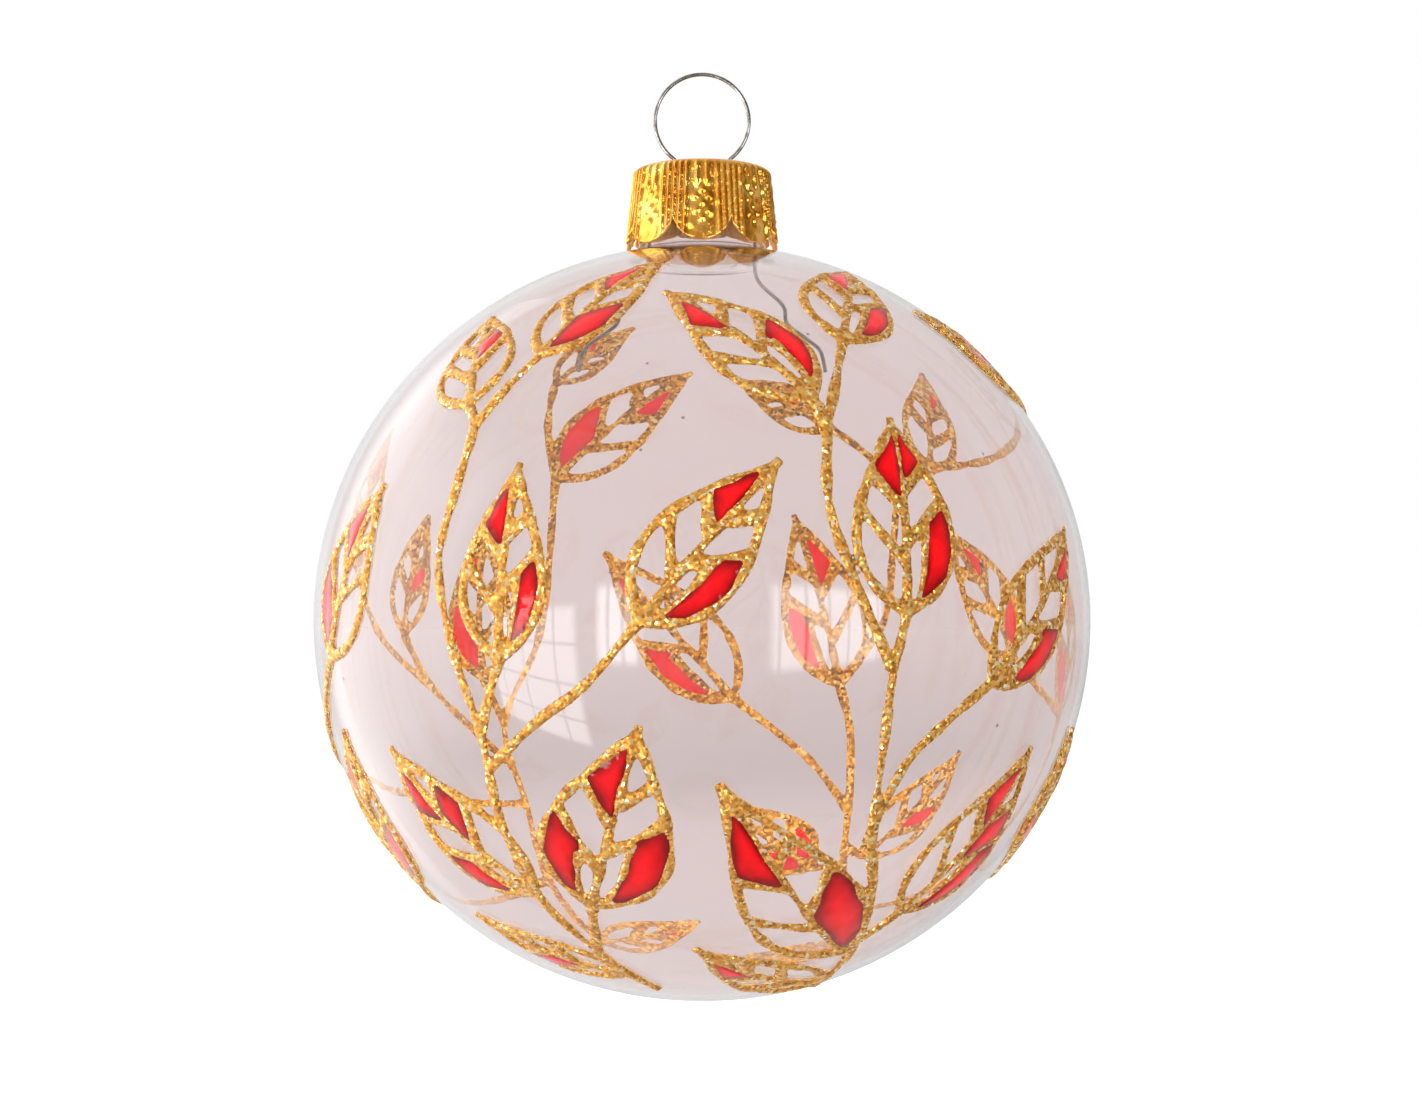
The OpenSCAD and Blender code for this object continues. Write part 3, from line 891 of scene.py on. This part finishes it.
def lathe(profile, around):
    """Points and faces of a turned shape whose first and last profile points are on the axis."""
    points = [(0.0, 0.0, profile[0][1])]
    turns = [2 * math.pi * (k + 0.5) / around for k in range(around)]
    body = profile[1:-1]
    for r, z in body:
        points += [(r * math.cos(a), r * math.sin(a), z) for a in turns]
    faces = [tuple(1 + v for v in face) for face in grid_faces(len(body), around)]
    points.append((0.0, 0.0, profile[-1][1]))
    last = 1 + (len(body) - 1) * around
    for k in range(around):
        k2 = (k + 1) % around
        faces.append((0, 1 + k2, 1 + k))
        faces.append((len(points) - 1, last + k, last + k2))
    return points, faces


def glass_object(material):
    points, faces = lathe(glass_profile(), GLASS_TURNS)
    obj = make_object("glass", points, faces, [material], "ball")
    outward(obj)
    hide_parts("glass_ball")


# Cap

CAP_TURNS = 560
CAP_ROWS = 40
CAP_BEND_STEPS = 10
FLAT_SHARES = (0.12, 0.3, 0.5, 0.7, 0.85)
INNER_RELIEF = 0.5
SLOT_STEPS = 10
CUTTER_REACH = 1.0

# Pressed pattern of one lobe: long ribs beside its edges, short ribs and dots on the panel between them.
# Dots are places across and up from the middle of the panel.
RIB_PITCH = 0.62
RIBS = (0.0, RIB_PITCH, RIB_PITCH * 2)
RIB_RISE = 0.3
RIB_HALF = 0.2
MARK_RISE = 0.24
SHORT_RIBS = (-0.5, 0.5)
SHORT_RIB_HALF = 0.19
SHORT_RIB_FADE = (1.0, 1.8)
DOTS = ((0.0, 0.9), (-0.7, 0.2), (0.7, 0.2), (0.0, -0.5), (-0.6, -1.3), (0.6, -1.3), (0.0, -2.0))
DOT_HALF = 0.27
PANEL_FADE = (RIB_PITCH * 1.4, RIB_PITCH * 2.2)
CRINKLE_RISE = 0.1
CRINKLE_ROUND = 9.0
CRINKLE_UP = 1.3
CRINKLE_SEED = 3.0
CORNER_FADE = (0.1, 0.6)


def skirt_x(z):
    """Distance from the axis to the plain skirt at a height."""
    return CAP_SHOULDER_R + (CAP_TOP_Z - CAP_CORNER - z) * math.tan(CAP_FLARE)


def bell(distance, width):
    """One at no distance, with a soft fall to zero."""
    return math.exp(-(distance / width) ** 2)


def smooth_rise(value, low, high):
    """Zero below low, one above high, with a soft rise between."""
    t = min(max((value - low) / (high - low), 0.0), 1.0)
    return t * t * (3 - 2 * t)


def beside_lobe(angle, radius):
    """Distance round the skirt from the middle of the nearest lobe."""
    turn = (angle + math.pi / 2) / LOBE_ANGLE
    return (turn - round(turn)) * LOBE_ANGLE * radius


def cap_relief(angle, z):
    """Height of the pressed pattern on the skirt."""
    off = beside_lobe(angle, skirt_x(z))
    gap = LOBE_ANGLE * skirt_x(z) / 2 - abs(off)
    height = z - (CAP_TOP_Z + CAP_RIM_Z) / 2
    relief = 0.0
    for rib in RIBS:
        relief += RIB_RISE * bell(gap - rib, RIB_HALF)
    for short in SHORT_RIBS:
        relief += MARK_RISE * bell(off - short, SHORT_RIB_HALF) * smooth_rise(height, *SHORT_RIB_FADE)
    for x, y in DOTS:
        relief += MARK_RISE * bell(math.hypot(off - x, height - y), DOT_HALF)
    crinkle = noise.noise(Vector((angle * CRINKLE_ROUND, z * CRINKLE_UP, CRINKLE_SEED)))
    return relief + CRINKLE_RISE * crinkle * smooth_rise(gap, *PANEL_FADE)


def lobe_edge(angle):
    """Height of the scalloped edge."""
    rim_x = skirt_x(CAP_RIM_Z)
    off = beside_lobe(angle, rim_x)
    lobe_r = rim_x * math.sin(LOBE_ANGLE / 2) * LOBE_OVERLAP
    return CAP_RIM_Z + lobe_r - math.sqrt(max(lobe_r ** 2 - off ** 2, 0.0))


def cap_column(angle, inset, relief):
    """Points from near the middle of the top, over the corner and down the skirt to its edge. The inset
    is zero outside and the sheet's thickness inside. The relief is the share of the pattern that shows."""
    corner_x = CAP_SHOULDER_R - CAP_CORNER * math.cos(CAP_FLARE)
    corner_z = CAP_TOP_Z - CAP_CORNER
    column = [(corner_x * share, CAP_TOP_Z - inset) for share in FLAT_SHARES]
    bend = arc((corner_x, corner_z), CAP_CORNER - inset, 90, math.degrees(CAP_FLARE), CAP_BEND_STEPS)
    for i, (r, z) in enumerate(bend):
        share = i / CAP_BEND_STEPS
        lift = cap_relief(angle, z) * relief * smooth_rise(share, *CORNER_FADE)
        column.append((r + lift * share, z))
    top_r, top_z = bend[-1]
    foot_z = lobe_edge(angle)
    for i in range(1, CAP_ROWS + 1):
        z = top_z + (foot_z - top_z) * i / CAP_ROWS
        r = top_r + (top_z - z) * math.tan(CAP_FLARE)
        column.append((r + cap_relief(angle, z) * relief, z))
    return [(r * math.cos(angle), r * math.sin(angle), z) for r, z in column]


def cap_object(materials):
    """The pressed sheet, outside and inside, with its two slots."""
    loops = []
    for angle in (2 * math.pi * k / CAP_TURNS for k in range(CAP_TURNS)):
        loops.append(cap_column(angle, 0.0, 1.0) + cap_column(angle, CAP_SHEET, INNER_RELIEF)[::-1])
    columns = len(loops[0])
    points = [p for loop in loops for p in loop]
    faces = grid_faces(CAP_TURNS, columns, closed_rows=True, closed_columns=False)
    inside = [face[0] % columns >= columns // 2 for face in faces]
    for place, level in ((0, CAP_TOP_Z), (columns - 1, CAP_TOP_Z - CAP_SHEET)):
        middle = len(points)
        points.append((0.0, 0.0, level))
        for k in range(CAP_TURNS):
            faces.append((k * columns + place, ((k + 1) % CAP_TURNS) * columns + place, middle))
        inside += [place > 0] * CAP_TURNS
    obj = make_object("pressed_cap", points, faces, materials, "cap")
    obj.data.polygons.foreach_set("material_index", np.array(inside, dtype=np.int32))
    outward(obj)
    cut_slots(obj)
    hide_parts("cap")


def cut_slots(obj):
    """Cuts the two wire slots through the top of the cap."""
    points, faces = [], []
    for side in (-1, 1):
        outline = arc((side * SLOT_X + SLOT_HALF, 0), SLOT_R, -90, 90, SLOT_STEPS)
        outline += arc((side * SLOT_X - SLOT_HALF, 0), SLOT_R, 90, 270, SLOT_STEPS)
        faces += tube_faces(2, len(outline), len(points))
        for z in (CAP_TOP_Z - CUTTER_REACH, CAP_TOP_Z + CUTTER_REACH):
            points += [(x, y, z) for x, y in outline]
    cutter = make_object("slot_cutter", points, faces, [], "cap")
    outward(cutter)
    cut = obj.modifiers.new("slots", "BOOLEAN")
    cut.operation = "DIFFERENCE"
    cut.solver = "EXACT"
    cut.object = cutter
    settled(obj)
    bpy.data.objects.remove(cutter)


# Hanger wire

WIRE_SIDES = 14
LEG_STEPS = 8
RING_STEP = 4.0

# Difference in height that doesn't count
HAIR = 0.001


def leg_points():
    """One spring leg from its slot down into the ball, as (distance from the axis, height)."""
    upper_bend, lower_bend = LEG_BENDS
    points = [
        (SLOT_X, CAP_TOP_Z + CAP_SHEET),
        (SLOT_X, SLOT_FOOT_Z),
        ((SLOT_X + NECK_X) / 2, CAP_TOP_Z - NECK_H * upper_bend),
        (NECK_X, CAP_TOP_Z - NECK_H * lower_bend),
        (NECK_X, SHOULDER_Z),
    ]
    return points + [(NECK_X + out * LEG_SPREAD, SHOULDER_Z - down * LEG_REACH) for out, down in LEG_WAVE]


def wire_object(name, path, material, body):
    """A round wire along a path in the XZ plane."""
    points = []
    last = len(path) - 1
    for i, p in enumerate(path):
        ahead = unit(path[min(i + 1, last)] - path[max(i - 1, 0)])
        for k in range(WIRE_SIDES):
            a = 2 * math.pi * k / WIRE_SIDES
            points.append((p[0] - ahead[1] * WIRE_R * math.cos(a), WIRE_R * math.sin(a),
                           p[1] + ahead[0] * WIRE_R * math.cos(a)))
    faces = tube_faces(len(path), WIRE_SIDES)
    obj = make_object(name, points, faces, [material], body)
    outward(obj)
    return obj


def hanger_objects(material):
    """The ring, a straight run in each slot, and the two legs."""
    leg = smooth_curve([np.array(p) for p in leg_points()], lambda start, end: LEG_STEPS)
    ring = [np.array((RING_R * math.cos(math.radians(a)), RING_Z + RING_R * math.sin(math.radians(a))))
            for a in np.arange(90.0 - RING_STEP, RING_END, -RING_STEP)]
    foot_z = SLOT_FOOT_Z
    run = [p for p in leg if p[1] >= foot_z - HAIR]
    below = [p for p in leg if p[1] <= foot_z + HAIR]
    half = ring + run[:1]
    mirror = np.array((-1.0, 1.0))
    top = np.array((0.0, RING_Z + RING_R))
    loop = wire_object("wire_ring", [p * mirror for p in reversed(half)] + [top] + half, material, "hanger")
    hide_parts("hanger_wire")
    for name, side in (("left", -1), ("right", 1)):
        turned = np.array((side, 1.0))
        straight = wire_object("wire_run_" + name, [p * turned for p in run], material, None)
        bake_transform(straight)
        piece = wire_object("wire_leg_" + name, [p * turned for p in below], material, "hanger")
        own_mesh(piece)


# Stage

def joined(tree, operation, a, b):
    """A Math node's result. Each side is a socket or a number."""
    node = add_node(tree, "ShaderNodeMath", operation=operation)
    for socket, value in zip(node.inputs, (a, b)):
        if isinstance(value, (int, float)):
            socket.default_value = value
        else:
            tree.links.new(value, socket)
    return node.outputs["Value"]


def smooth_step(tree, value, low, high):
    node = add_node(tree, "ShaderNodeMapRange", interpolation_type="SMOOTHSTEP")
    set_inputs(node, {"From Min": low, "From Max": high})
    tree.links.new(value, node.inputs["Value"])
    return node.outputs["Result"]


def band(tree, value, low, high, blur):
    """One between low and high, with soft edges."""
    rise = smooth_step(tree, value, low - blur, low + blur)
    fall = smooth_step(tree, value, high - blur, high + blur)
    return joined(tree, "SUBTRACT", rise, fall)


def between(tree, share, low, high):
    """A value that goes from low to high as a share goes from zero to one."""
    return joined(tree, "ADD", joined(tree, "MULTIPLY", share, high - low), low)


def seen_ray(tree, *names):
    """One for rays of these kinds."""
    path = tree.nodes.new("ShaderNodeLightPath")
    most = path.outputs[names[0]]
    for name in names[1:]:
        most = joined(tree, "MAXIMUM", most, path.outputs[name])
    return most


def choose(tree, factor, shader_off, shader_on):
    mix = tree.nodes.new("ShaderNodeMixShader")
    tree.links.new(factor, mix.inputs["Fac"])
    tree.links.new(shader_off, mix.inputs[1])
    tree.links.new(shader_on, mix.inputs[2])
    return mix.outputs["Shader"]


# Windows of the room on the viewer's side: left, right, foot and head, as slopes from the ball, then
# their light and how far apart their bars are, across and up
WINDOWS = (
    (-1.8, -0.72, -0.85, 0.1, 6.5, 0.36, 0.26),
    (-0.56, -0.31, -0.22, 0.2, 9.0, 0.09, 1.0),
    (0.36, 1.25, -0.26, 0.2, 7.0, 0.16, 1.0),
)
WINDOW_BLUR = 0.04
BAR_HALF = 0.022
BAR_LIGHT = 0.3
BAR_SHIFT = 20.5
LEAST_TOWARDS = 0.05
FRONT_FROM = 0.06

# Light of the room before and behind the ball, on the left and on the right, and how far round they blend
ROOM_LEFT = 0.7
ROOM_RIGHT = 0.2
BACK_LEFT = 1.15
BACK_RIGHT = 0.6
BACK_BLEND = (-0.35, 0.3)
SIDE_BLEND = (-0.8, 0.8)

# A tall window at the left, as low, high and blur of its directions in depth and height
SIDE_LIGHT = 1.8
SIDE_FROM = 0.3
SIDE_DEPTH = (-0.25, 0.75, 0.08)
SIDE_HEIGHT = (-0.45, 0.6, 0.15)


def bars(tree, slope, spacing):
    """Dims a window along soft dark bars that lie a spacing apart."""
    shifted = joined(tree, "ADD", slope, spacing * BAR_SHIFT)
    beside = joined(tree, "PINGPONG", shifted, spacing / 2)
    return between(tree, smooth_step(tree, beside, 0.0, BAR_HALF), BAR_LIGHT, 1.0)


def front_windows(tree, ways):
    """Light of the windows on the viewer's side."""
    towards = joined(tree, "MAXIMUM", joined(tree, "MULTIPLY", ways["Y"], -1.0), LEAST_TOWARDS)
    slope_x = joined(tree, "DIVIDE", ways["X"], towards)
    slope_z = joined(tree, "DIVIDE", ways["Z"], towards)
    glow = 0.0
    for left, right, foot, head, light, across, up in WINDOWS:
        wide = band(tree, slope_x, left, right, WINDOW_BLUR)
        shape = joined(tree, "MULTIPLY", wide, band(tree, slope_z, foot, head, WINDOW_BLUR))
        panes = joined(tree, "MULTIPLY", bars(tree, slope_x, across), bars(tree, slope_z, up))
        one = joined(tree, "MULTIPLY", joined(tree, "MULTIPLY", shape, panes), light)
        glow = joined(tree, "ADD", glow, one)
    front = joined(tree, "GREATER_THAN", towards, FRONT_FROM)
    return joined(tree, "MULTIPLY", glow, front)


def side_window(tree, ways, aside):
    """Light of the tall window at the left."""
    tall = joined(tree, "MULTIPLY", band(tree, ways["Y"], *SIDE_DEPTH), band(tree, ways["Z"], *SIDE_HEIGHT))
    shape = joined(tree, "MULTIPLY", joined(tree, "GREATER_THAN", aside, SIDE_FROM), tall)
    return joined(tree, "MULTIPLY", shape, SIDE_LIGHT)


def room_light(tree):
    """Brightness that mirrors see: a pale backdrop behind the ball, and on the viewer's side a room with
    windows, both brighter on the left."""
    apart = tree.nodes.new("ShaderNodeSeparateXYZ")
    tree.links.new(tree.nodes.new("ShaderNodeTexCoord").outputs["Generated"], apart.inputs["Vector"])
    ways = apart.outputs
    aside = joined(tree, "MULTIPLY", ways["X"], -1.0)
    leftness = smooth_step(tree, aside, *SIDE_BLEND)
    behind = smooth_step(tree, ways["Y"], *BACK_BLEND)
    before = joined(tree, "SUBTRACT", 1.0, behind)
    room = joined(tree, "MULTIPLY", before, between(tree, leftness, ROOM_RIGHT, ROOM_LEFT))
    backdrop = joined(tree, "MULTIPLY", behind, between(tree, leftness, BACK_RIGHT, BACK_LEFT))
    windows = joined(tree, "ADD", front_windows(tree, ways), side_window(tree, ways, aside))
    return joined(tree, "ADD", joined(tree, "ADD", room, backdrop), windows)


# Light that reaches paint and metal through the glass, in place of the lamps' light that the glass stops,
# from the sky and from the floor
INSIDE_LIGHT = 12.0
INSIDE_FLOOR_LIGHT = 4.5

SKY_LIGHT = 0.6
WHITE = (1.0, 1.0, 1.0, 1.0)


def let_in(tree):
    """One for rays that leave a lit surface through the glass."""
    path = tree.nodes.new("ShaderNodeLightPath")
    scattered = joined(tree, "GREATER_THAN", path.outputs["Diffuse Depth"], 0.5)
    return joined(tree, "MULTIPLY", scattered, path.outputs["Is Transmission Ray"])


def make_world():
    """Soft light all round, white where the camera sees it, and a room where mirrors do."""
    world = bpy.data.worlds.new("studio")
    bpy.context.scene.world = world
    world.use_nodes = True
    tree = world.node_tree
    soft = add_node(tree, "ShaderNodeBackground", Strength=SKY_LIGHT)
    white = add_node(tree, "ShaderNodeBackground", Strength=1.0)
    inside = add_node(tree, "ShaderNodeBackground", Strength=INSIDE_LIGHT)
    room = add_node(tree, "ShaderNodeBackground")
    for node in (soft, white, inside, room):
        node.inputs["Color"].default_value = WHITE
    tree.links.new(room_light(tree), room.inputs["Strength"])
    in_mirrors = seen_ray(tree, "Is Glossy Ray")
    mirrored = choose(tree, in_mirrors, soft.outputs["Background"], room.outputs["Background"])
    straight_on = seen_ray(tree, "Is Camera Ray", "Is Transmission Ray")
    seen = choose(tree, straight_on, mirrored, white.outputs["Background"])
    lit = choose(tree, let_in(tree), seen, inside.outputs["Background"])
    tree.links.new(lit, tree.nodes["World Output"].inputs["Surface"])


# Floor, in metres: its drop below the ball and its half width, its grey and how much darker it is through
# glass, the light that lifts it for the camera and through glass, and the distance that fades the latter in
FLOOR_DROP = 0.045
FLOOR_HALF = 30.0
FLOOR_GREY = 0.9
FLOOR_DARKER = 0.17
FLOOR_CAMERA_LIFT = 0.5
FLOOR_GLASS_LIFT = 0.56
FLOOR_FADE = 0.6


def make_floor():
    """A pale floor below the hanging ball, lifted to white where nothing shades it."""
    level = cad_box[0].z - FLOOR_DROP
    corners = ((-1, -1), (1, -1), (1, 1), (-1, 1))
    mesh = bpy.data.meshes.new("floor")
    mesh.from_pydata([(x * FLOOR_HALF, y * FLOOR_HALF, level) for x, y in corners], [], [(0, 1, 2, 3)])
    floor = bpy.data.objects.new("floor", mesh)
    bpy.context.scene.collection.objects.link(floor)
    material, tree, shader = new_material("pale_floor")
    # Seen through the glass the floor is painted darker: painted shade in the glass.
    darker = joined(tree, "MULTIPLY", seen_ray(tree, "Is Transmission Ray"), FLOOR_DARKER)
    tree.links.new(joined(tree, "SUBTRACT", FLOOR_GREY, darker), shader.inputs["Base Color"])
    shader.inputs["Roughness"].default_value = 0.9
    lift = tree.nodes.new("ShaderNodeEmission")
    length = add_node(tree, "ShaderNodeVectorMath", operation="LENGTH")
    tree.links.new(object_place(tree), length.inputs[0])
    distance = length.outputs["Value"]
    far = joined(tree, "DIVIDE", distance, joined(tree, "ADD", distance, FLOOR_FADE))
    through_glass = joined(tree, "MULTIPLY", far, FLOOR_GLASS_LIFT)
    glass_eye = joined(tree, "MULTIPLY", seen_ray(tree, "Is Transmission Ray"), through_glass)
    camera_eye = joined(tree, "MULTIPLY", seen_ray(tree, "Is Camera Ray"), FLOOR_CAMERA_LIFT)
    inside = joined(tree, "MULTIPLY", let_in(tree), INSIDE_FLOOR_LIGHT)
    strength = joined(tree, "MAXIMUM", joined(tree, "MAXIMUM", camera_eye, glass_eye), inside)
    tree.links.new(strength, lift.inputs["Strength"])
    both = tree.nodes.new("ShaderNodeAddShader")
    tree.links.new(shader.outputs["BSDF"], both.inputs[0])
    tree.links.new(lift.outputs["Emission"], both.inputs[1])
    tree.links.new(both.outputs["Shader"], tree.nodes["Material Output"].inputs["Surface"])
    mesh.materials.append(material)
    floor.visible_glossy = False


def area_light(name, place, size, power, target):
    """A lamp that lights surfaces but isn't seen in mirrors or through glass."""
    data = bpy.data.lights.new(name, "AREA")
    data.shape = "RECTANGLE"
    data.size, data.size_y = size
    data.energy = power
    obj = bpy.data.objects.new(name, data)
    obj.location = place
    obj.rotation_euler = (target - Vector(place)).to_track_quat("-Z", "Y").to_euler()
    obj.visible_glossy = False
    obj.visible_transmission = False
    bpy.context.scene.collection.objects.link(obj)


def make_lights():
    middle = Vector((0.0, 0.0, BALL_Z * MM))
    area_light("key", place=(-0.45, -0.5, 0.35), size=(0.35, 0.35), power=3.0, target=middle)
    area_light("fill", place=(0.6, -0.4, 0.15), size=(0.3, 0.5), power=0.9, target=middle)
    area_light("back", place=(0.1, 0.6, 0.4), size=(0.5, 0.3), power=1.5, target=middle)


# Camera: level with the ball's middle, which lies off the centre of the photograph

PHOTO_W = 1422
PHOTO_H = 1100
BALL_PX = (702.0, 622.5)
CAMERA_DISTANCE = 0.24


def make_camera():
    data = bpy.data.cameras.new("camera")
    data.sensor_width = 36.0
    data.lens = 58.2
    data.shift_x = (PHOTO_W / 2 - BALL_PX[0]) / PHOTO_W
    data.shift_y = (BALL_PX[1] - PHOTO_H / 2) / PHOTO_W
    data.clip_start = 0.01
    camera = bpy.data.objects.new("camera", data)
    camera.location = (0.0, -CAMERA_DISTANCE, BALL_Z * MM)
    camera.rotation_euler = (math.pi / 2, 0.0, 0.0)
    bpy.context.scene.collection.objects.link(camera)
    bpy.context.scene.camera = camera


bpy.context.scene.view_settings.view_transform = "Standard"
make_camera()
make_world()
make_floor()
make_lights()
glass_object(glass_material())
cap_object([cap_material(), cap_inside_material()])
hanger_objects(wire_material())
paste = [glitter_material(), underside_material()]
lacquer = lacquer_material()
for vine_name in STEMS:
    vine_object(vine_name, paste)
    panes_object(vine_name, lacquer)
